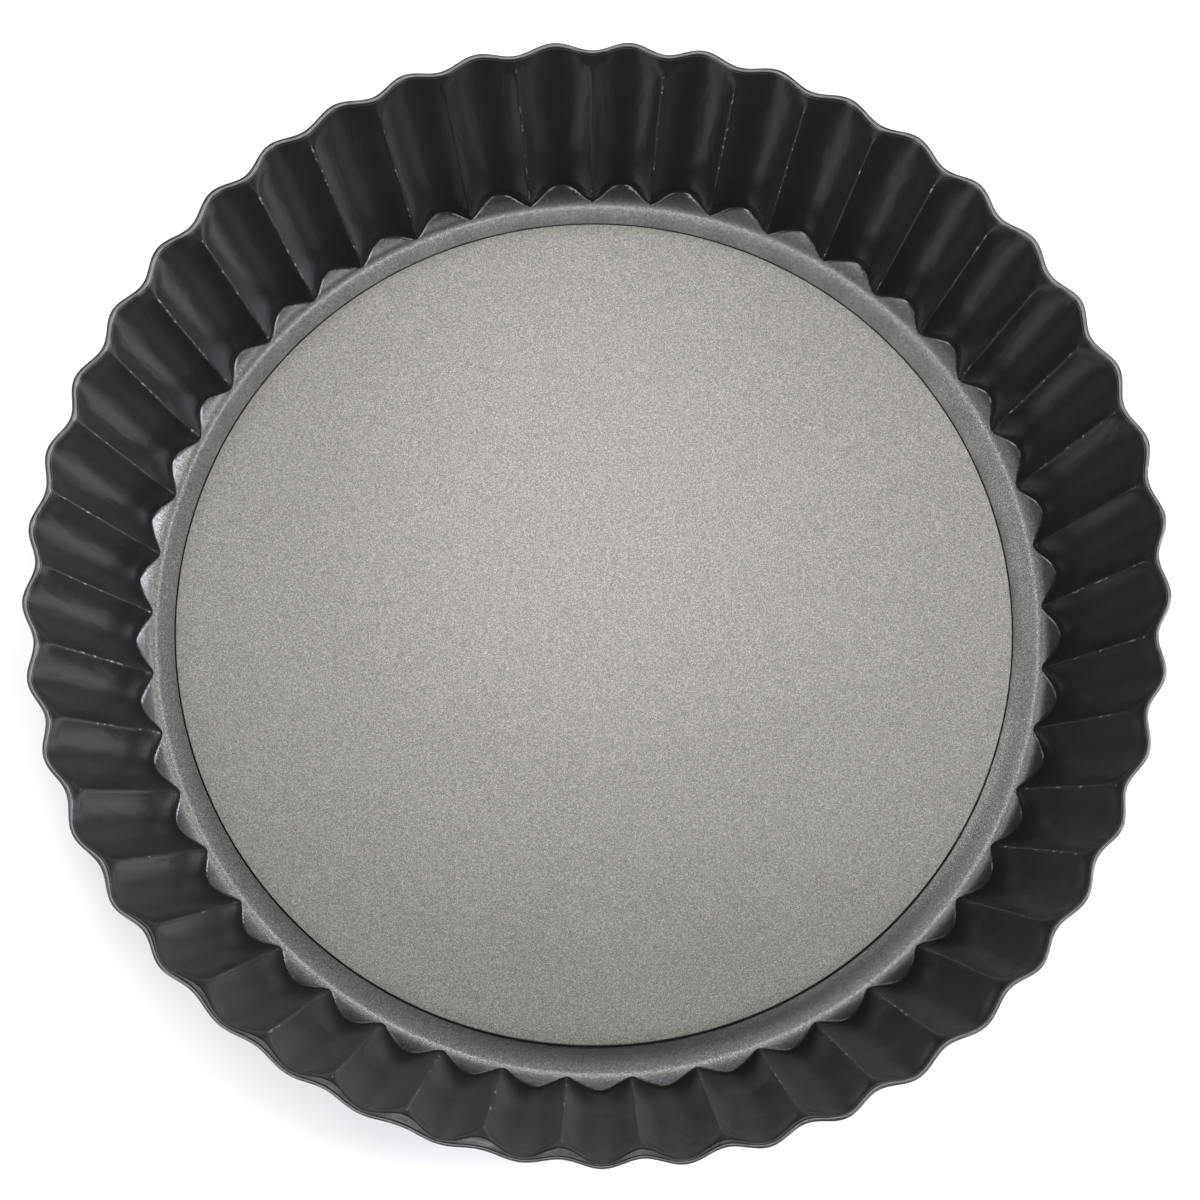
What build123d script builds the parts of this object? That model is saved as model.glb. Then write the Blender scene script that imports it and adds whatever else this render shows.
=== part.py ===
from build123d import *
import math
import os

# Fluted quiche dish: a loose-bottomed fluted tin pressed from coated sheet steel.
# Two real pieces: the fluted side ring with its rim and bottom ledge, and the loose base
# disc that lies on the ledge. Millimetres, +Z up, origin on the axis at the plane that the
# tin stands on.

# ---------------------------------------------------------------- driving dimensions
FLUTES = 45              # flutes around the wall, 8 degrees each
SHEET = 0.6              # sheet thickness of the ring
HEIGHT = 52.0            # standing plane to the top of the rim

# inner face of the wall, as (height, radius at the inward crease, radius at the flute's middle)
FOOT_R = 104.4           # foot circle: the creases run down to it, the flutes round in to it
SCALLOP_Z = 3.6          # where the flute's sloping floor meets its wall
SCALLOP_CREASE_R = 105.35
SCALLOP_BULGE_R = 108.6
NECK_Z = 48.6            # top of the straight wall, just under the rim
NECK_CREASE_R = 119.9
NECK_BULGE_R = 122.6
MOUTH_CREASE_R = 121.5   # inner edge of the rim at the top
MOUTH_BULGE_R = 123.7

# outer edge of the hemmed rim
RIM_CREASE_R = 122.5
RIM_BULGE_R = 124.9
RIM_LOW_Z = 49.6         # where the hem is full width
RIM_HIGH_Z = 51.3
RIM_TOP_CREASE_R = 121.95 # outer edge of the hem at the top, which is rounded in
RIM_TOP_BULGE_R = 124.4

# ledge that turns inward, rises gently, and steps up under the base's edge to the seat
LAND_IN_R = 102.6        # inner edge of the flat ring that the tin stands on
LEDGE_TOE_R = 98.6       # where the gentle part ends and the step starts
LEDGE_TOE_Z = 1.1
LEDGE_KNEE_R = 97.1      # outer edge of the seat
LEDGE_TOP_Z = 2.4        # the seat of the base
LEDGE_HOLE_R = 94.0      # opening under the base

# loose base
BASE_R = 98.5
BASE_T = 0.8
BASE_EDGE = 0.2          # edge break on the top corner

PITCH = 360.0 / FLUTES


def at(radius, degrees, z):
    a = math.radians(degrees)
    return (radius * math.cos(a), radius * math.sin(a), z)


def fluted_wire(z, crease_r, bulge_r):
    """A closed section of the wall: one arc per flute, meeting in creases."""
    return Wire(
        [
            Edge.make_three_point_arc(
                at(crease_r, k * PITCH, z),
                at(bulge_r, (k + 0.5) * PITCH, z),
                at(crease_r, (k + 1) * PITCH, z),
            )
            for k in range(FLUTES)
        ]
    )


def outside_of(crease_r, bulge_r, gap):
    """Radii of the section that lies the given distance outside an inner section."""
    half = math.radians(PITCH / 2)
    chord = crease_r * math.sin(half)
    sag = bulge_r - crease_r * math.cos(half)
    rho = (chord**2 + sag**2) / (2 * sag)
    centre = bulge_r - rho
    wider = rho + gap
    crease = centre * math.cos(half) + math.sqrt(wider**2 - (centre * math.sin(half)) ** 2)
    return crease, bulge_r + gap


def on_wall(z):
    """Inner crease and bulge radii on the straight wall."""
    t = (z - SCALLOP_Z) / (NECK_Z - SCALLOP_Z)
    return (
        SCALLOP_CREASE_R + t * (NECK_CREASE_R - SCALLOP_CREASE_R),
        SCALLOP_BULGE_R + t * (NECK_BULGE_R - SCALLOP_BULGE_R),
    )


# ---------------------------------------------------------------- fluted ring
wall_tilt = math.atan2(NECK_BULGE_R - SCALLOP_BULGE_R, NECK_Z - SCALLOP_Z)
wall_gap = SHEET / math.cos(wall_tilt)

# inside of the ring, from just below the foot to above the rim
mouth_slope_crease = (MOUTH_CREASE_R - NECK_CREASE_R) / (HEIGHT - NECK_Z)
mouth_slope_bulge = (MOUTH_BULGE_R - NECK_BULGE_R) / (HEIGHT - NECK_Z)
OVER = 2.0
inside = Solid.make_loft(
    [
        fluted_wire(SHEET, FOOT_R, FOOT_R),
        fluted_wire(SCALLOP_Z, SCALLOP_CREASE_R, SCALLOP_BULGE_R),
        fluted_wire(NECK_Z, NECK_CREASE_R, NECK_BULGE_R),
        fluted_wire(
            HEIGHT + OVER,
            MOUTH_CREASE_R + OVER * mouth_slope_crease,
            MOUTH_BULGE_R + OVER * mouth_slope_bulge,
        ),
    ],
    ruled=True,
)

# outside of the ring, one sheet thickness further out, then the hemmed rim
low_z = SCALLOP_Z - 0.35
low = outside_of(*on_wall(low_z), wall_gap)
neck_z = NECK_Z - 0.4
neck = outside_of(*on_wall(neck_z), wall_gap)
outside = Solid.make_loft(
    [
        fluted_wire(0.0, FOOT_R + 0.4 * SHEET, FOOT_R + 0.4 * SHEET),
        fluted_wire(low_z, *low),
        fluted_wire(neck_z, *neck),
        fluted_wire(RIM_LOW_Z, RIM_CREASE_R, RIM_BULGE_R),
        fluted_wire(RIM_HIGH_Z, RIM_CREASE_R, RIM_BULGE_R),
        fluted_wire(HEIGHT, RIM_TOP_CREASE_R, RIM_TOP_BULGE_R),
    ],
    ruled=True,
)
wall = outside - inside

# the flat floor that the two lofts leave is opened, and the rising ledge takes its place
opening = Cylinder(LAND_IN_R, 4, align=(Align.CENTER, Align.CENTER, Align.CENTER))
wall = wall - opening

gentle = math.atan2(LEDGE_TOE_Z - SHEET, LAND_IN_R - LEDGE_TOE_R)
steep = math.atan2(LEDGE_TOP_Z - LEDGE_TOE_Z, LEDGE_TOE_R - LEDGE_KNEE_R)


def under(r, z, before, after):
    """The underside's corner below a corner of the ledge's top, one sheet thickness off both sides."""
    middle, half = (before + after) / 2, (after - before) / 2
    reach = SHEET / math.cos(half)
    return (r - reach * math.sin(middle), z - reach * math.cos(middle))


with BuildPart() as ledge_part:
    with BuildSketch(Plane.XZ):
        with BuildLine():
            Polyline(
                (LAND_IN_R + 0.9, 0.0),
                (LAND_IN_R + 0.9, SHEET),
                (LAND_IN_R, SHEET),
                (LEDGE_TOE_R, LEDGE_TOE_Z),
                (LEDGE_KNEE_R, LEDGE_TOP_Z),
                (LEDGE_HOLE_R, LEDGE_TOP_Z),
                (LEDGE_HOLE_R, LEDGE_TOP_Z - SHEET),
                under(LEDGE_KNEE_R, LEDGE_TOP_Z, steep, 0.0),
                under(LEDGE_TOE_R, LEDGE_TOE_Z, gentle, steep),
                under(LAND_IN_R, SHEET, 0.0, gentle),
                close=True,
            )
        make_face()
    revolve(axis=Axis.Z)
ring = wall + ledge_part.part
ring_solid = ring.solids()[0]
print("ring solids", len(ring.solids()), "volume", round(ring_solid.volume, 1), "valid", ring_solid.is_valid)

# ---------------------------------------------------------------- loose base
base = Pos(0, 0, LEDGE_TOP_Z) * Cylinder(
    BASE_R, BASE_T, align=(Align.CENTER, Align.CENTER, Align.MIN)
)
top_edge = base.edges().sort_by(Axis.Z)[-1]
base = chamfer(top_edge, BASE_EDGE)
base_solid = base.solids()[0]
print("base solids", len(base.solids()), "volume", round(base_solid.volume, 1), "valid", base_solid.is_valid)

# ---------------------------------------------------------------- files
os.makedirs("parts", exist_ok=True)
for name, solid in (("fluted_ring", ring_solid), ("loose_base", base_solid)):
    solid.label = name
    export_step(solid, f"parts/{name}.step")
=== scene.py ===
import math

import bpy
import numpy as np
from mathutils import Matrix, Vector


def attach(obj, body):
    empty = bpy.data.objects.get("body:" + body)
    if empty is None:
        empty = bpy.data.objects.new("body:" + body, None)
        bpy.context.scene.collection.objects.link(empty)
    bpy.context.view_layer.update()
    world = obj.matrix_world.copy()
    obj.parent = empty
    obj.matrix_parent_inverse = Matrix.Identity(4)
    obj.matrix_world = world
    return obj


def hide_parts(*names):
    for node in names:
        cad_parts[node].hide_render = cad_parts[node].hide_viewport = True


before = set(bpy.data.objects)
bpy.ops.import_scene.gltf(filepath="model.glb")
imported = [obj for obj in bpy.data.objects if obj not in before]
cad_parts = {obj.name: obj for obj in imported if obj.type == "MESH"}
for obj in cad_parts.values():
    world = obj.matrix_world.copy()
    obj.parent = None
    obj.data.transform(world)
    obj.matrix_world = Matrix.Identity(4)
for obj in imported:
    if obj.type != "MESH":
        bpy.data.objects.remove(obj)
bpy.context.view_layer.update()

# ------------------------------------------------------------------ dimensions, in millimetres
FLUTES = 45
PITCH = 2 * math.pi / FLUTES
HALF = PITCH / 2
SHEET = 0.6
TOP = 52.0

FOOT_R = 104.4
WALL_Z0, WALL_C0, WALL_B0 = 3.6, 105.35, 108.6       # crease and middle of a flute, near the foot
SLOPE_C = (119.9 - 105.35) / 45.0
SLOPE_B = (122.6 - 108.6) / 45.0
LEDGE_TOP, STEP_IN_R, STEP_OUT_R, HOLE_R = 2.4, 97.1, 98.45, 94.0
FOOT_START_R = 96.7
VALLEY_R = 102.6
SCALLOP_SLOPE = math.tan(math.radians(30))
BASE_R, BASE_T = 98.5, 0.8
BASE_AT = (-0.19, 0.27)  # the loose base lies a little off the axis

# the hemmed rim as it really sits, which is not quite round: azimuth, outline radius, rim width
RIM_CREASE = [
    (0, 122.5, 1), (8, 122.84, 1.11), (16, 122.62, 1.23), (24, 122.46, 1.34), (32, 122.6, 1.4),
    (40, 122.53, 1.43), (48, 122.52, 1.42), (56, 122.61, 1.41), (64, 122.61, 1.39), (72, 122.72, 1.31),
    (80, 122.38, 1.23), (88, 122.44, 1.15), (96, 122.41, 1.21), (104, 122.22, 1.29), (112, 121.79, 1.42),
    (120, 121.9, 1.5), (128, 121.09, 1.54), (136, 120.89, 1.58), (144, 120.73, 1.57), (152, 120.69, 1.53),
    (160, 120.76, 1.53), (168, 121.58, 1.49), (176, 121.6, 1.44), (184, 121.97, 1.44), (192, 121.83, 1.43),
    (200, 122.1, 1.48), (208, 122.02, 1.52), (216, 121.87, 1.62), (224, 122.47, 2.02), (232, 122.42, 2.02),
    (240, 122.42, 2.22), (248, 123.01, 2.71), (256, 123.2, 2.65), (264, 123.09, 2.59), (272, 123.09, 2.19),
    (280, 123.42, 1.7), (288, 123.6, 1.51), (296, 123.73, 1.37), (304, 123.9, 1.26), (312, 123.71, 1.13),
    (320, 123.12, 1.05), (328, 122.43, 1.02), (336, 122.12, 0.97), (344, 122.12, 0.97), (352, 122.16, 0.96),
]
RIM_FLUTE = [
    (4, 125.07, 1.19), (12, 125.19, 1.3), (20, 125.06, 1.35), (28, 124.99, 1.41), (36, 124.98, 1.45),
    (44, 124.88, 1.43), (52, 124.89, 1.41), (60, 124.79, 1.39), (68, 124.76, 1.37), (76, 124.79, 1.35),
    (84, 124.51, 1.34), (92, 124.53, 1.35), (100, 124.31, 1.37), (108, 124.14, 1.39), (116, 124.03, 1.41),
    (124, 123.66, 1.44), (132, 123.35, 1.46), (140, 123.19, 1.48), (148, 123.08, 1.45), (156, 123.29, 1.45),
    (164, 123.5, 1.41), (172, 123.81, 1.37), (180, 124.12, 1.33), (188, 124.22, 1.29), (196, 124.27, 1.2),
    (204, 124.22, 1.1), (212, 124.02, 1.07), (220, 123.97, 1.09), (228, 123.77, 1.11), (236, 123.62, 1.14),
    (244, 123.77, 1.14), (252, 124.12, 1.06), (260, 124.42, 1.06), (268, 124.82, 1.06), (276, 125.27, 1.08),
    (284, 125.67, 1.1), (292, 125.87, 1.12), (300, 125.92, 1.14), (308, 125.92, 1.1), (316, 125.57, 1.03),
    (324, 124.87, 1.01), (332, 124.47, 1.06), (340, 124.44, 1.08), (348, 124.61, 1.1), (356, 124.77, 1.13),
]

# the foot of the wall: azimuth, radius where a crease ends, radius of a flute's middle at the foot
FOOT = [
    (0, 105.18, 109.7), (30, 105.83, 109.9), (60, 105.38, 109.4), (90, 104.63, 109.2), (120, 104.48, 108.3),
    (150, 104.38, 108.2), (180, 104.03, 108.0), (210, 104.18, 108.1), (240, 104.63, 108.4), (270, 105.13, 108.5),
    (300, 105.33, 109.0), (330, 105.33, 109.5),
]

# how far the ledge rises from its lowest ring to the base's edge, by azimuth
TOE_RISE = [(0, 0.32), (45, 0.15), (90, 0.14), (135, 0.07), (180, 0.18), (225, 0.26), (270, 0.31), (315, 0.32)]

rng = np.random.RandomState(11)


def smooth(t):
    t = np.clip(t, 0.0, 1.0)
    return t * t * (3 - 2 * t)


def smax(a, b, k):
    """The larger of two, with the corner between them rounded over k."""
    h = np.maximum(k - np.abs(a - b), 0.0) / k
    return np.maximum(a, b) + h * h * k * 0.25


def around(points, phi):
    """Smooth periodic curve through (degrees, value) points."""
    a = np.array([p[0] for p in points], float)
    v = np.array([p[1] for p in points], float)
    a = np.concatenate([a[-2:] - 360, a, a[:2] + 360])
    v = np.concatenate([v[-2:], v, v[:2]])
    x = np.degrees(phi) % 360
    i = np.clip(np.searchsorted(a, x, side="right") - 1, 1, len(a) - 3)
    t = (x - a[i]) / (a[i + 1] - a[i])
    m0 = (v[i + 1] - v[i - 1]) / (a[i + 1] - a[i - 1]) * (a[i + 1] - a[i])
    m1 = (v[i + 2] - v[i]) / (a[i + 2] - a[i]) * (a[i + 1] - a[i])
    t2, t3 = t * t, t * t * t
    return (2 * t3 - 3 * t2 + 1) * v[i] + (t3 - 2 * t2 + t) * m0 + (-2 * t3 + 3 * t2) * v[i + 1] + (t3 - t2) * m1


# ------------------------------------------------------------------ columns around the ring
PER_HALF = 10
share = np.linspace(0, 1, PER_HALF + 1) ** 1.5
near = share * HALF
one = np.concatenate([near[:-1], (PITCH - near[::-1])[:-1]])
base_phi = (np.arange(FLUTES)[:, None] * PITCH + one[None, :]).ravel()
dist = np.minimum(one, PITCH - one)
dist = np.tile(dist, FLUTES)                       # angle from the nearest crease
side = np.tile(np.where(one <= HALF, 1.0, -1.0), FLUTES)
crease_no = np.repeat(np.arange(FLUTES), len(one))

# each flute of the real tin differs a little in place and depth
jitter = rng.uniform(-1, 1, FLUTES)
jitter_phi = [(8.0 * k, jitter[k] * math.radians(0.20)) for k in range(FLUTES)]
depth_c = [(8.0 * k, v) for k, v in enumerate(rng.uniform(-0.12, 0.12, FLUTES))]
depth_b = [(8.0 * k + 4, v) for k, v in enumerate(rng.uniform(-0.10, 0.10, FLUTES))]
phi = base_phi + around(jitter_phi, base_phi)
N = len(phi)

out_b = around([(p[0], p[1]) for p in RIM_FLUTE], base_phi)
out_c = around([(p[0], p[1]) for p in RIM_CREASE], base_phi)
width_b = around([(p[0], p[2]) for p in RIM_FLUTE], base_phi)
width_c = around([(p[0], p[2]) for p in RIM_CREASE], base_phi)
var_c = around(depth_c, base_phi)
var_b = around(depth_b, base_phi)
wave = 0.5 - 0.5 * np.cos(math.pi * dist / HALF)   # 0 at a crease, 1 at the middle of a flute
r_outline = out_c + (out_b - out_c) * wave
edge_c = out_c - width_c
edge_b = out_b - width_b
r_edge = edge_c + (edge_b - edge_c) * wave

foot_r = around([(p[0], p[1]) for p in FOOT], base_phi)
foot_b = around([(p[0], p[2]) for p in FOOT], base_phi)
toe_rise = around(TOE_RISE, base_phi)[:, None]

# how the top of the wall is off the plain cone, fading out down to the foot
off_c = edge_c - (WALL_C0 + (TOP - 0.8 - WALL_Z0) * SLOPE_C)
off_b = edge_b - (WALL_B0 + (TOP - 0.8 - WALL_Z0) * SLOPE_B)


def crease_r(z):
    s = np.clip((z - 4.0) / 47.2, 0, 1.05)
    bend = 0.45 * smooth((z - 45.5) / 6.0)          # creases lean out to the rim at the very top
    return WALL_C0 + (z - WALL_Z0) * SLOPE_C + (foot_r - FOOT_R) * (1 - s) + (off_c - 0.45) * s**1.6 + bend + var_c * np.sin(math.pi * np.clip(s, 0, 1))


def bulge_r(z):
    s = np.clip((z - 4.0) / 47.2, 0, 1.05)
    return WALL_B0 + (z - WALL_Z0) * SLOPE_B + (foot_b - WALL_B0) * (1 - s) + off_b * s**1.6 + var_b * np.sin(math.pi * np.clip(s, 0, 1))


def plan(rc, rb, eps, mix, gap=0.0):
    """Radius of a wall section: arcs that meet in creases, mixed with a smooth wave near the rim."""
    sharp_rc = rc - 0.95 * eps if gap == 0 else rc - 0.2 * eps
    d = np.sqrt((rc * dist) ** 2 + eps**2) / rc
    chord = sharp_rc * math.sin(HALF)
    sag = rb - sharp_rc * math.cos(HALF)
    rho = (chord**2 + sag**2) / (2 * sag)
    c = rb - rho
    u = HALF - d
    arc = c * np.cos(u) + np.sqrt(np.maximum((rho + gap) ** 2 - (c * np.sin(u)) ** 2, 1e-6))
    smooth_r = rc + (rb - rc) * wave
    if gap:
        slope = (rb - rc) / 2 * np.sin(math.pi * dist / HALF) * math.pi / HALF / rc
        smooth_r = smooth_r + gap * np.sqrt(1 + slope**2)
    return (1 - mix) * arc + mix * smooth_r


def mix_at(z):
    """How much of a section is a smooth wave: all of it at the rim, a third of it at the foot."""
    return float(smooth((z - 45.5) / 5.0) + 0.30 * max(0.0, 1 - z / 30.0))


GAP = SHEET / math.cos(math.atan(SLOPE_B))


def inner(z):
    eps = 0.24 + 0.5 * float(smooth((z - 45.5) / 5.0)) + 0.55 * float(1 - smooth((z - 0.6) / 6.0))
    return plan(crease_r(z), bulge_r(z), eps, mix_at(z))


def outer(z):
    return plan(crease_r(z), bulge_r(z), 0.18, mix_at(z), GAP)


stations = []            # (radius, height) arrays, one pair per station, running round the section


def add(r, z):
    stations.append((np.broadcast_to(np.asarray(r, float), (N,)).copy(), np.broadcast_to(np.asarray(z, float), (N,)).copy()))


def ledge_z(r, low):
    """The ledge's profile: a shallow dish that rises both ways, then the step up under the base's edge."""
    t = np.clip((VALLEY_R - r) / (VALLEY_R - STEP_OUT_R), 0, 1)
    z = toe_rise * t * t + 0.015 * np.maximum(r - VALLEY_R, 0) ** 2
    return low + z + (LEDGE_TOP - SHEET - toe_rise) * smooth((STEP_OUT_R - r) / (STEP_OUT_R - STEP_IN_R))


def foot(lines, z_end, count, shift, cone_r, floor_z, k_floor, k_wall):
    """The ledge, the scalloped floor and the start of the wall as one rounded profile per column."""
    a, b = lines
    r = np.arange(FOOT_START_R - shift, 113.0, 0.03)[None, :]
    z_floor = smax(np.broadcast_to(ledge_z(r + shift, floor_z), (N, r.shape[1])), floor_z + (r - cone_r[:, None]) * SCALLOP_SLOPE, k_floor)
    z = smax(z_floor, (r - a[:, None]) / b[:, None], k_wall)
    # the surface's own slopes, outward and around, for its normals
    z_r = np.gradient(z, r[0], axis=1)
    h1 = ((phi - np.roll(phi, 1)) % (2 * math.pi))[:, None]
    h2 = ((np.roll(phi, -1) - phi) % (2 * math.pi))[:, None]
    z_phi = (h1**2 * (np.roll(z, -1, 0) - z) + h2**2 * (z - np.roll(z, 1, 0))) / (h1 * h2 * (h1 + h2)) / r
    rows = []
    for i in range(N):
        n = int(np.searchsorted(z[i], z_end)) if z[i, -1] > z_end else r.shape[1] - 1
        rr = np.append(r[0, :n], np.interp(z_end, z[i, n - 1 : n + 1], r[0, n - 1 : n + 1]))
        zz = np.append(z[i, :n], z_end)
        s = np.concatenate([[0], np.cumsum(np.hypot(np.diff(rr), np.diff(zz)))])
        # more samples where the profile turns
        turn = np.abs(np.gradient(np.arctan2(np.gradient(zz), np.gradient(rr)), s + np.arange(len(s)) * 1e-9))
        turn = np.minimum(turn, 0.6) * np.where(rr + shift < 98.3, 0.4, 1.0)
        weight = np.concatenate([[0], np.cumsum((0.35 + 2.5 * turn)[1:] * np.diff(s))])
        at = np.linspace(0, weight[-1], count)
        picked = np.interp(at, weight, rr)
        rows.append((picked, np.interp(at, weight, zz), np.interp(picked, r[0], z_r[i]), np.interp(picked, r[0], z_phi[i])))
    return [np.array([x[q] for x in rows]) for q in range(4)]


exact = {}               # normals by station, where the surface is known as a height over the plane


def slope_normal(s_r, s_phi, up):
    """Unit normals, one per column, of a surface with these slopes."""
    v = np.stack([-s_r * np.cos(phi) + s_phi * np.sin(phi), -s_r * np.sin(phi) - s_phi * np.cos(phi), np.ones(N)], -1)
    return up * v / np.linalg.norm(v, axis=1)[:, None]


Z_JOIN = 6.0
in_0, in_6 = inner(0.6), inner(Z_JOIN)
b_in = (in_6 - in_0) / (Z_JOIN - 0.6)
a_in = in_0 - 0.6 * b_in
out_0, out_6 = outer(0.2), outer(Z_JOIN)
b_out = (out_6 - out_0) / (Z_JOIN - 0.2)
a_out = out_0 - 0.2 * b_out

# seat of the base, from the hole outward
add(HOLE_R + 0.16, LEDGE_TOP)
add(95.4, LEDGE_TOP)
FOOT_N = 36
fr, fz, fsr, fsp = foot((a_in, b_in), Z_JOIN, FOOT_N, 0.0, foot_r + 0.45, SHEET, 1.0, 0.3)
for k in range(FOOT_N):
    if 0 < k < FOOT_N - 1:
        exact[len(stations)] = slope_normal(fsr[:, k], fsp[:, k], 1.0)
    add(fr[:, k], fz[:, k])
# inside of the wall
WALL_Z = [10, 18, 27, 36, 42, 45, 46.6, 47.8, 48.8, 49.6, 50.2]
for z in WALL_Z:
    add(inner(z), z)

# the rim: a shelf where the hem stands off the crease, then the bead of the hem
bead_most = around([(0, 0.7), (30, 0.8), (60, 0.8), (90, 0.8), (120, 0.8), (150, 0.8), (180, 0.76), (205, 0.7), (225, 0.42), (250, 0.36), (275, 0.38), (300, 0.6), (330, 0.7)], base_phi)
bead = np.clip((r_outline - r_edge - 0.12) / 2, 0.3, bead_most)
bead_h = np.minimum(bead, 0.52)
flat_top = 1 - around([(0, 0.36), (30, 0.48), (60, 0.48), (90, 0.48), (120, 0.48), (150, 0.40), (180, 0.36), (210, 0.30), (240, 0.22), (270, 0.22), (300, 0.36), (330, 0.36)], base_phi)
shelf = r_outline - r_edge - 2 * bead
fil = np.minimum(0.42, 0.5 * shelf)
hol = np.minimum(0.20, 0.25 * shelf)
lift = 0.12 * np.sin(3 * base_phi + 0.7) + 0.06 * np.sin(7 * base_phi)
z_bead = TOP - 0.15 + lift - bead_h
z_shelf = z_bead - hol
SHELF_0 = len(stations)
for q in (0.0, 0.5, 1.0):
    a = q * math.pi / 2
    add(r_edge + fil * (1 - math.cos(a)), z_shelf + 0.15 * shelf - fil + fil * math.sin(a))
for q in (0.0, 0.5, 1.0):
    a = q * math.pi / 2
    add(r_outline - 2 * bead - hol + hol * math.sin(a), z_shelf + hol * (1 - math.cos(a)))
for q in range(1, 9):
    a = math.pi * (1 - q / 8)
    x, y = math.cos(a), math.sin(a)
    add(r_outline - bead + bead * math.copysign(1, x) * abs(x) ** flat_top, z_bead + bead_h * max(y, 0.0) ** flat_top)
# outer leg of the hem, its cut end and the gap behind it
leg = 0.50
add(r_outline - 0.05, z_bead - 0.45)
end_out = r_outline - 0.16
Z_END = 49.85
for q in range(0, 5):
    a = -math.pi * q / 4
    add(end_out - leg / 2 + leg / 2 * math.cos(a), Z_END + leg / 2 * math.sin(a))
top_out = outer(50.5)
inside_leg = np.maximum(r_outline - 0.10 - leg, top_out + 0.04)
add(inside_leg, 50.62)
add(top_out, 50.48)
# outside of the wall
for z in reversed([10, 18, 27, 36, 42, 45, 46.8, 48.2, 49.4]):
    add(outer(z), z)
BACK_N = 26
br, bz, bsr, bsp = foot((a_out, b_out), Z_JOIN, BACK_N, 0.28, foot_r + 0.63, 0.0, 1.0, 0.3)
for k in range(BACK_N - 1, -1, -1):
    if 0 < k < BACK_N - 1:
        exact[len(stations)] = slope_normal(bsr[:, k], bsp[:, k], -1.0)
    add(br[:, k], bz[:, k])
add(95.4, LEDGE_TOP - SHEET)
add(HOLE_R + 0.16, LEDGE_TOP - SHEET)
add(HOLE_R + 0.02, LEDGE_TOP - SHEET + 0.12)
add(HOLE_R + 0.02, LEDGE_TOP - 0.12)

S = len(stations)
R_ = np.array([s[0] for s in stations])
Z_ = np.array([s[1] for s in stations])
co = np.stack([R_ * np.cos(phi), R_ * np.sin(phi), Z_], -1) / 1000.0

inside_wall = np.zeros(S)
first = 2
last = 2 + FOOT_N + len(WALL_Z) + 1
inside_wall[first:last] = 1.0


def grid_mesh(name, co, flip=False):
    """A closed torus-like grid, stations by columns."""
    s, n, _ = co.shape
    idx = np.arange(s * n).reshape(s, n)
    a = idx
    b = np.roll(idx, -1, axis=1)
    c = np.roll(np.roll(idx, -1, axis=0), -1, axis=1)
    d = np.roll(idx, -1, axis=0)
    quads = np.stack([a, b, c, d], -1).reshape(-1, 4)
    if flip:
        quads = quads[:, ::-1]
    me = bpy.data.meshes.new(name)
    me.vertices.add(s * n)
    me.vertices.foreach_set("co", co.reshape(-1).astype(np.float32))
    me.loops.add(quads.size)
    me.loops.foreach_set("vertex_index", quads.reshape(-1).astype(np.int32))
    me.polygons.add(len(quads))
    me.polygons.foreach_set("loop_start", np.arange(0, quads.size, 4, dtype=np.int32))
    me.polygons.foreach_set("use_smooth", np.ones(len(quads), bool))
    me.update(calc_edges=True)
    me.validate()
    return me


def volume_of(me):
    me.calc_loop_triangles()
    tri = np.zeros(len(me.loop_triangles) * 3, np.int32)
    me.loop_triangles.foreach_get("vertices", tri)
    v = np.zeros(len(me.vertices) * 3, np.float32)
    me.vertices.foreach_get("co", v)
    v = v.reshape(-1, 3).astype(float)
    p = v[tri.reshape(-1, 3)]
    return float(np.einsum("ij,ij->i", p[:, 0], np.cross(p[:, 1], p[:, 2])).sum() / 6)


ring_mesh = grid_mesh("ring_shell", co)
if volume_of(ring_mesh) < 0:
    bpy.data.meshes.remove(ring_mesh)
    ring_mesh = grid_mesh("ring_shell", co, flip=True)
print("ring faces", len(ring_mesh.polygons), "volume cm3", round(volume_of(ring_mesh) * 1e6, 2))
print("ring z", Z_.min(), Z_.max(), "r", R_.min(), R_.max())

# the foot's exact normals, so that its rounded corners shade evenly
normals = np.zeros(len(ring_mesh.vertices) * 3, np.float32)
ring_mesh.vertex_normals.foreach_get("vector", normals)
normals = normals.reshape(S, N, 3)
worst = 0.0
for k, v in exact.items():
    worst = max(worst, float(np.degrees(np.arccos(np.clip((normals[k] * v).sum(1), -1, 1))).max()))
    normals[k] = v
print("foot normals turned by at most", round(worst, 1), "degrees")
ring_mesh.normals_split_custom_set_from_vertices(normals.reshape(-1, 3).tolist())

# how near each point is to a crease of the inside, for the worn line of the coating
x_mm = R_ * dist[None, :]
near_crease = np.maximum(0.0, 1 - x_mm / 0.7) * inside_wall[:, None]
near_crease *= smooth((Z_ - 1.3) / 0.9) * (1 - smooth((Z_ - 49.0) / 1.2))
attr = ring_mesh.attributes.new("crease_wear", "FLOAT", "POINT")
attr.data.foreach_set("value", near_crease.reshape(-1).astype(np.float32))
# the flakes lie flat and show on the ledge; on the steep wall they hardly do. Where this mask is low, the wall also
# gets a painted bluish reflection that stands in for the bluish low lamps
attr = ring_mesh.attributes.new("flake_show_and_wall_tint", "FLOAT", "POINT")
attr.data.foreach_set("value", (1 - 0.88 * smooth((Z_ - 1.5) / 3.0)).reshape(-1).astype(np.float32))
# painted shade: the shelf of the rim is darkened in colour, standing in for the dim light it reflects
shelf_shade = np.zeros((S, N))
shelf_shade[SHELF_0 + 1 : SHELF_0 + 5] = smooth((shelf - 0.15) / 0.4)
attr = ring_mesh.attributes.new("shelf_painted_shade", "FLOAT", "POINT")
attr.data.foreach_set("value", shelf_shade.reshape(-1).astype(np.float32))

ring = bpy.data.objects.new("ring_shell", ring_mesh)
bpy.context.scene.collection.objects.link(ring)

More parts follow.
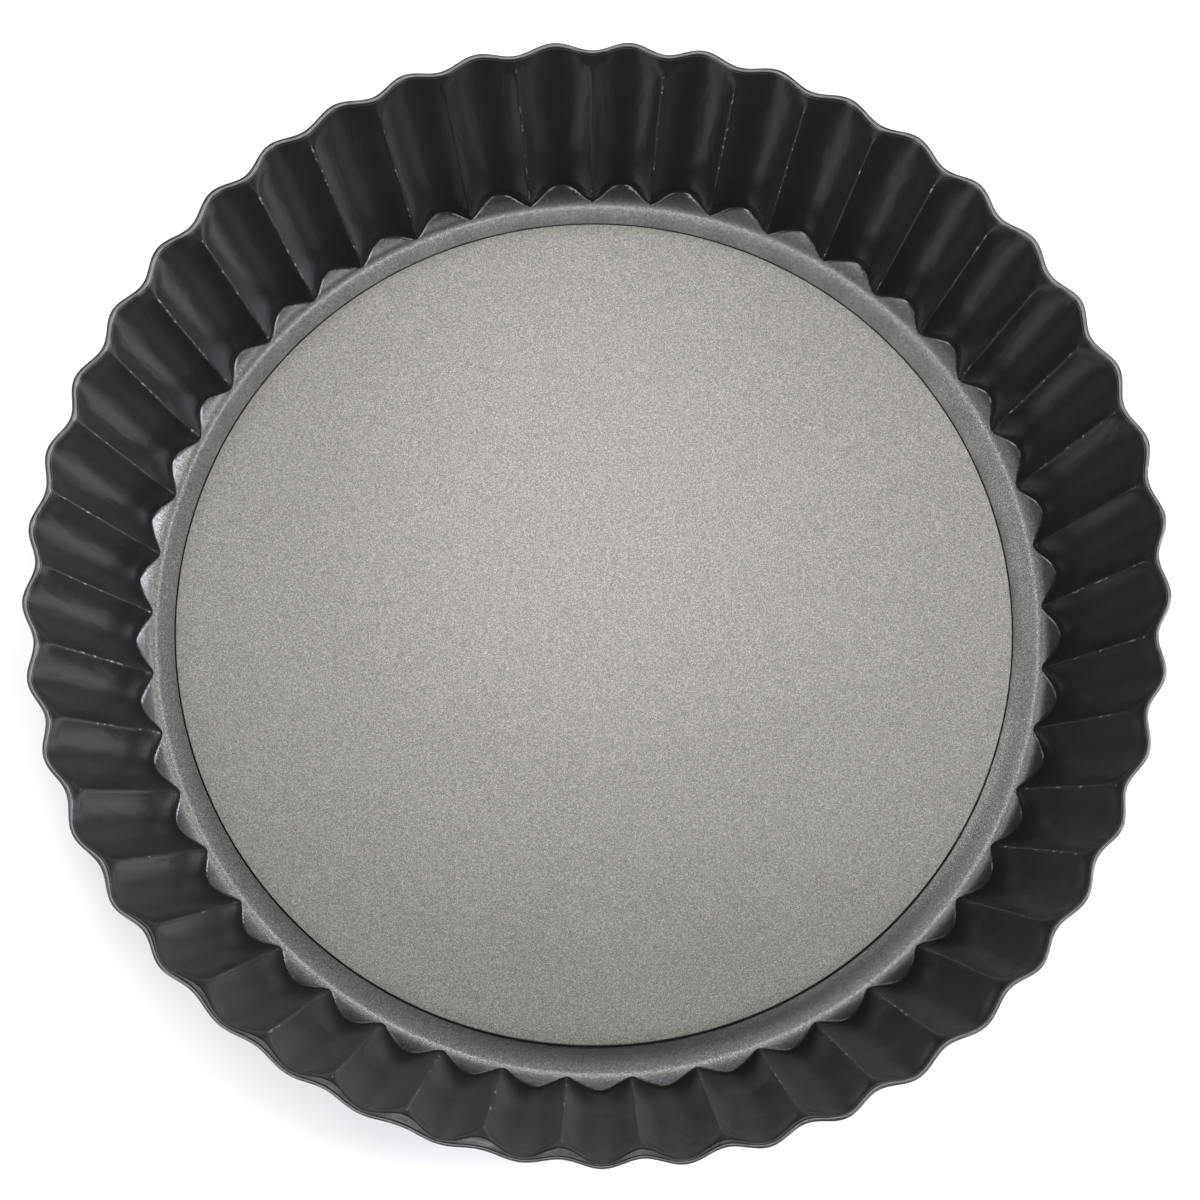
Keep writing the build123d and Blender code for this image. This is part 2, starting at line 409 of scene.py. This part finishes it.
# ------------------------------------------------------------------ loose base
edge = 0.58               # the blanked edge is rolled over
prof = []
for r in np.linspace(0.0, 1.0, 26)[1:] ** 0.8 * (BASE_R - edge):
    prof.append((r, LEDGE_TOP + BASE_T))
for q in range(1, 13):
    a = math.pi / 2 * (1 - q / 12)
    prof.append((BASE_R - edge + edge * math.cos(a), LEDGE_TOP + BASE_T - edge + edge * math.sin(a)))
prof.append((BASE_R, LEDGE_TOP + 0.20))
prof.append((BASE_R - 0.05, LEDGE_TOP + 0.06))
prof.append((BASE_R - 0.16, LEDGE_TOP))
for r in np.linspace(1.0, 0.0, 14)[1:-1] * (BASE_R - 0.16):
    prof.append((r, LEDGE_TOP))
M = 180
theta = np.linspace(0, 2 * math.pi, M, endpoint=False)
verts, faces = [(BASE_AT[0] / 1000, BASE_AT[1] / 1000, (LEDGE_TOP + BASE_T) / 1000)], []
for r, z in prof:
    for t in theta:
        # the blank is a few hundredths off flat, as a pressed sheet is
        off = 0.03 * math.sin(2 * t + 0.6) * (r / BASE_R) ** 2 * (1 - (r / BASE_R) ** 6) + 0.02 * math.cos(3 * t) * (r / BASE_R) ** 3 * (1 - (r / BASE_R) ** 6)
        verts.append(((r * math.cos(t) + BASE_AT[0]) / 1000, (r * math.sin(t) + BASE_AT[1]) / 1000, (z + off) / 1000))
verts.append((BASE_AT[0] / 1000, BASE_AT[1] / 1000, LEDGE_TOP / 1000))
for j in range(M):
    faces.append((0, 1 + j, 1 + (j + 1) % M))
for i in range(len(prof) - 1):
    p, q = 1 + i * M, 1 + (i + 1) * M
    for j in range(M):
        k = (j + 1) % M
        faces.append((p + j, q + j, q + k, p + k))
p = 1 + (len(prof) - 1) * M
for j in range(M):
    faces.append((p + j, len(verts) - 1, p + (j + 1) % M))
disc_mesh = bpy.data.meshes.new("base_disc")
disc_mesh.from_pydata(verts, [], faces)
disc_mesh.update()
disc_mesh.polygons.foreach_set("use_smooth", np.ones(len(disc_mesh.polygons), bool))
print("disc volume cm3", round(volume_of(disc_mesh) * 1e6, 2))
# painted shade: the rolled edge of the base is painted near black, standing in for the shadowed crevice between the
# base and the ledge
disc_r = np.array([0.0] + [q[0] for q in prof for _ in theta] + [0.0])
disc_z = np.array([9.0] + [q[1] for q in prof for _ in theta] + [0.0])
edge_shade = smooth((disc_r - (BASE_R - edge * 0.74)) / (edge * 0.12)) * (disc_z > LEDGE_TOP + 0.01)
disc_t = np.array([0.0] + [t for _ in prof for t in theta] + [0.0])
# the painted shade is weaker around azimuth 295 degrees
edge_shade = edge_shade * (1 - 0.35 * smooth((np.cos(disc_t - math.radians(295)) - 0.3) / 0.5))
attr = disc_mesh.attributes.new("edge_painted_shade", "FLOAT", "POINT")
attr.data.foreach_set("value", edge_shade.astype(np.float32))
disc = bpy.data.objects.new("base_disc", disc_mesh)
bpy.context.scene.collection.objects.link(disc)

# ------------------------------------------------------------------ materials


class Nodes:
    def __init__(self, name):
        self.mat = bpy.data.materials.new(name)
        self.mat.use_nodes = True
        self.tree = self.mat.node_tree
        self.tree.nodes.clear()
        self.out = self.tree.nodes.new("ShaderNodeOutputMaterial")
        self.bsdf = self.tree.nodes.new("ShaderNodeBsdfPrincipled")
        self.link(self.bsdf.outputs[0], self.out.inputs["Surface"])

    def new(self, kind, **inputs):
        n = self.tree.nodes.new(kind)
        for k, v in inputs.items():
            if hasattr(n, k) and k not in n.inputs:
                setattr(n, k, v)
            else:
                self.set(n.inputs[k], v)
        return n

    def set(self, socket, v):
        if isinstance(v, bpy.types.NodeSocket):
            self.link(v, socket)
        else:
            socket.default_value = v

    def link(self, a, b):
        self.tree.links.new(a, b)

    def math(self, op, a, b=None, clamp=False):
        n = self.tree.nodes.new("ShaderNodeMath")
        n.operation = op
        n.use_clamp = clamp
        self.set(n.inputs[0], a)
        if b is not None:
            self.set(n.inputs[1], b)
        return n.outputs[0]

    def ramp(self, value, lo, hi, to_lo=0.0, to_hi=1.0):
        n = self.tree.nodes.new("ShaderNodeMapRange")
        n.interpolation_type = "SMOOTHSTEP"
        for k, v in (("Value", value), ("From Min", lo), ("From Max", hi), ("To Min", to_lo), ("To Max", to_hi)):
            self.set(n.inputs[k], v)
        return n.outputs["Result"]

    def mix(self, fac, a, b):
        n = self.tree.nodes.new("ShaderNodeMix")
        n.data_type = "RGBA"
        self.set(n.inputs["Factor"], fac)
        self.set(n.inputs[6], a)
        self.set(n.inputs[7], b)
        return n.outputs[2]

    def coords(self, scale=(1, 1, 1)):
        if not hasattr(self, "_tc"):
            self._tc = self.tree.nodes.new("ShaderNodeTexCoord")
        m = self.tree.nodes.new("ShaderNodeMapping")
        m.inputs["Scale"].default_value = scale
        self.link(self._tc.outputs["Object"], m.inputs["Vector"])
        return m.outputs["Vector"]

    def noise(self, vector, scale, detail=2.0, rough=0.5, distortion=0.0):
        n = self.tree.nodes.new("ShaderNodeTexNoise")
        self.link(vector, n.inputs["Vector"])
        n.inputs["Scale"].default_value = scale
        n.inputs["Detail"].default_value = detail
        n.inputs["Roughness"].default_value = rough
        n.inputs["Distortion"].default_value = distortion
        return n.outputs["Fac"]


def coating(name, dark, light, metallic, rough, formed=False):
    """Satin non-stick coating: dark resin with fine metal flakes, slightly uneven in gloss."""
    m = Nodes(name)
    co = m.coords()
    cloud = m.noise(co, 24.0, 3.0, 0.5)
    # each flake is a cell of its own brightness; bright ones are rarer
    cell = m.tree.nodes.new("ShaderNodeTexVoronoi")
    cell.inputs["Scale"].default_value = 7000.0
    m.link(co, cell.inputs["Vector"])
    parts = m.tree.nodes.new("ShaderNodeSeparateColor")
    m.link(cell.outputs["Color"], parts.inputs["Color"])
    flake = m.math("SUBTRACT", m.math("POWER", parts.outputs["Red"], 2.0), 0.333)
    if formed:
        show = m.tree.nodes.new("ShaderNodeAttribute")
        show.attribute_name = "flake_show_and_wall_tint"
        flake = m.math("MULTIPLY", flake, show.outputs["Fac"])
    flake = m.math("ADD", flake, 0.333)
    tone = m.ramp(cloud, 0.3, 0.7, -0.015, 0.015)
    flake = m.math("ADD", flake, tone)
    colour = m.mix(flake, (*dark, 1.0), (*light, 1.0))
    roughness = m.ramp(cloud, 0.3, 0.7, rough - 0.005, rough + 0.005)
    b = m.tree.nodes.new("ShaderNodeBump")
    b.inputs["Strength"].default_value = 0.35
    b.inputs["Distance"].default_value = 0.0013 / 1000.0
    m.set(b.inputs["Height"], m.noise(co, 3400.0, 1.0, 0.5))
    if formed:
        # painted reflection: the wall is tinted a trace bluer than the ledge, standing in for the bluish light it
        # reflects; painted shade: the shelf of the rim is darkened
        colour = m.mix(m.math("MULTIPLY", m.math("SUBTRACT", 1.0, show.outputs["Fac"]), 0.8), colour, (0.0560, 0.0578, 0.0635, 1.0))
        # painted shade on the shelf of the rim
        shelf_shade = m.tree.nodes.new("ShaderNodeAttribute")
        shelf_shade.attribute_name = "shelf_painted_shade"
        colour = m.mix(m.math("MULTIPLY", shelf_shade.outputs["Fac"], 0.8), colour, (0.0240, 0.0250, 0.0275, 1.0))
        # the coating is thin along the creases, and worn through to bright steel in small spots
        a = m.tree.nodes.new("ShaderNodeAttribute")
        a.attribute_name = "crease_wear"
        near = a.outputs["Fac"]
        patch = m.noise(m.coords((1.0, 1.0, 0.5)), 90.0, 2.0, 0.6)
        thin = m.math("MULTIPLY", m.ramp(near, 0.58, 0.9), m.ramp(m.noise(m.coords((1.0, 1.0, 0.5)), 420.0, 3.0, 0.65), 0.36, 0.68, 0.15, 1.0))
        colour = m.mix(m.math("MULTIPLY", thin, 0.45), colour, (0.150, 0.150, 0.156, 1.0))
        dash = m.noise(m.coords((1.0, 1.0, 0.5)), 1000.0, 2.0, 0.6)
        level = m.math("MULTIPLY", m.ramp(dash, 0.53, 0.69), m.ramp(patch, 0.39, 0.57))
        worn = m.ramp(m.math("ADD", near, m.math("MULTIPLY", level, 0.52)), 1.0, 1.18)
        colour = m.mix(worn, colour, (0.54, 0.55, 0.55, 1.0))
        # long shallow unevenness of the drawn sheet, which streaks the reflections of the wall
        drawn = m.tree.nodes.new("ShaderNodeBump")
        drawn.inputs["Strength"].default_value = 1.0
        drawn.inputs["Distance"].default_value = 0.0003
        streak = m.noise(m.coords((1.0, 1.0, 0.14)), 210.0, 2.0, 0.5, 0.4)
        m.set(drawn.inputs["Height"], m.math("MULTIPLY", streak, m.ramp(show.outputs["Fac"], 0.12, 0.30, 1.0, 0.0)))
        m.set(b.inputs["Normal"], drawn.outputs["Normal"])
    else:
        cut = m.tree.nodes.new("ShaderNodeAttribute")
        cut.attribute_name = "edge_painted_shade"
        # painted shade: the base's rolled edge is mixed to near black
        colour = m.mix(cut.outputs["Fac"], colour, (0.008, 0.008, 0.009, 1.0))
    m.set(m.bsdf.inputs["Base Color"], colour)
    m.set(m.bsdf.inputs["Roughness"], roughness)
    m.bsdf.inputs["Metallic"].default_value = metallic
    m.bsdf.inputs["Specular IOR Level"].default_value = 0.5
    m.set(m.bsdf.inputs["Normal"], b.outputs["Normal"])
    return m.mat


# ring and base carry one coating; the base's copy is painted lighter and warmer, as painted light on its flat top
ring_mat = coating("ring_coating_flake", (0.0335, 0.0334, 0.0337), (0.1070, 0.1067, 0.1076), 0.8, 0.25, formed=True)
disc_mat = coating("base_coating_flake", (0.0581, 0.0568, 0.0550), (0.1747, 0.1707, 0.1652), 0.8, 0.30)
ring_mesh.materials.append(ring_mat)
disc_mesh.materials.append(disc_mat)
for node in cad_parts.values():
    node.data.materials.clear()
    node.data.materials.append(ring_mat if node.name == "fluted_ring" else disc_mat)

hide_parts("fluted_ring")
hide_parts("loose_base")
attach(ring, "ring")
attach(disc, "base")

# ------------------------------------------------------------------ floor
fm = Nodes("pale_floor")
speck = fm.noise(fm.coords(), 60.0, 3.0, 0.5)
fm.set(fm.bsdf.inputs["Base Color"], fm.mix(fm.ramp(speck, 0.3, 0.7), (0.86, 0.86, 0.865, 1), (0.88, 0.88, 0.885, 1)))
fm.bsdf.inputs["Roughness"].default_value = 0.7
fm.bsdf.inputs["Specular IOR Level"].default_value = 0.2
floor_mesh = bpy.data.meshes.new("floor")
H = 3.0
floor_mesh.from_pydata([(-H, -H, 0), (H, -H, 0), (H, H, 0), (-H, H, 0)], [], [(0, 1, 2, 3)])
floor_mesh.materials.append(fm.mat)
floor = bpy.data.objects.new("floor", floor_mesh)
floor.location.z = -0.0002
bpy.context.scene.collection.objects.link(floor)

# ------------------------------------------------------------------ light
world = bpy.data.worlds.new("studio")
bpy.context.scene.world = world
world.use_nodes = True
bg = world.node_tree.nodes["Background"]
bg.inputs["Color"].default_value = (0.90, 0.94, 1.0, 1.0)
bg.inputs["Strength"].default_value = 0.04


def softbox(name, direction, distance, size, power, colour=(1, 1, 1)):
    d = Vector(direction).normalized()
    lamp = bpy.data.lights.new(name, "AREA")
    lamp.shape = "DISK"
    lamp.size = size
    lamp.energy = power
    lamp.color = colour
    o = bpy.data.objects.new(name, lamp)
    o.location = d * distance
    o.rotation_mode = "QUATERNION"
    o.rotation_quaternion = d.to_track_quat("Z", "Y")
    bpy.context.scene.collection.objects.link(o)
    return o


# tilt from straight up, azimuth, width in degrees, power: small round softboxes that together make
# a broad soft light, strongest from the right
for i, (tilt, az, wide, power) in enumerate([
    (0, 0, 14, 1.7), (14, 30, 14, 2.2), (14, 90, 14, 6.1), (14, 150, 14, 1.8), (14, 210, 14, 1.1), (14, 270, 14, 0.3),
    (28, 0, 18, 8.5), (28, 45, 18, 6.6), (28, 90, 18, 4.0), (28, 135, 18, 4.3), (28, 180, 18, 2.6), (28, 225, 18, 2.7),
    (28, 315, 18, 4.9), (46, 0, 20, 20.3), (46, 45, 20, 2.9), (46, 90, 20, 3.1), (46, 180, 20, 0.9), (46, 225, 20, 9.6),
    (46, 315, 20, 3.2), (68, 0, 22, 14.0), (68, 45, 22, 0.9), (68, 90, 22, 2.9), (68, 180, 22, 8.2), (68, 225, 22, 14.2),
    (68, 315, 22, 9.0),
]):
    t, a = math.radians(tilt), math.radians(az)
    colour = (1.0, 0.98, 0.94) if tilt < 40 else (0.93, 0.94, 1.0)
    softbox("softbox_%02d" % i, (math.sin(t) * math.cos(a), math.sin(t) * math.sin(a), math.cos(t)), 2.0, 4.0 * math.tan(math.radians(wide / 2)), power, colour)

# ------------------------------------------------------------------ camera
F_PX = 2620.0
AL, PSI, TURN = math.radians(11.60), math.radians(1.70), math.radians(2.49)
T_MM = Vector((-1.17, 5.97, 618.0))
axis = Vector((math.cos(PSI), math.sin(PSI), 0.0))
rot = Matrix.Rotation(-AL, 3, axis) @ Matrix(((1, 0, 0), (0, -1, 0), (0, 0, -1))) @ Matrix.Rotation(TURN, 3, "Z")
cam_data = bpy.data.cameras.new("camera")
cam_data.lens = 36.0 * F_PX / 1200.0
cam_data.sensor_width = 36.0
cam_data.clip_start, cam_data.clip_end = 0.01, 20.0
cam = bpy.data.objects.new("camera", cam_data)
place = (rot.transposed() @ Matrix(((1, 0, 0), (0, -1, 0), (0, 0, -1)))).to_4x4()
place.translation = -(rot.transposed() @ T_MM) / 1000.0
cam.matrix_world = place
bpy.context.scene.collection.objects.link(cam)
bpy.context.scene.camera = cam

scene = bpy.context.scene
scene.view_settings.view_transform = "Standard"
scene.view_settings.look = "None"
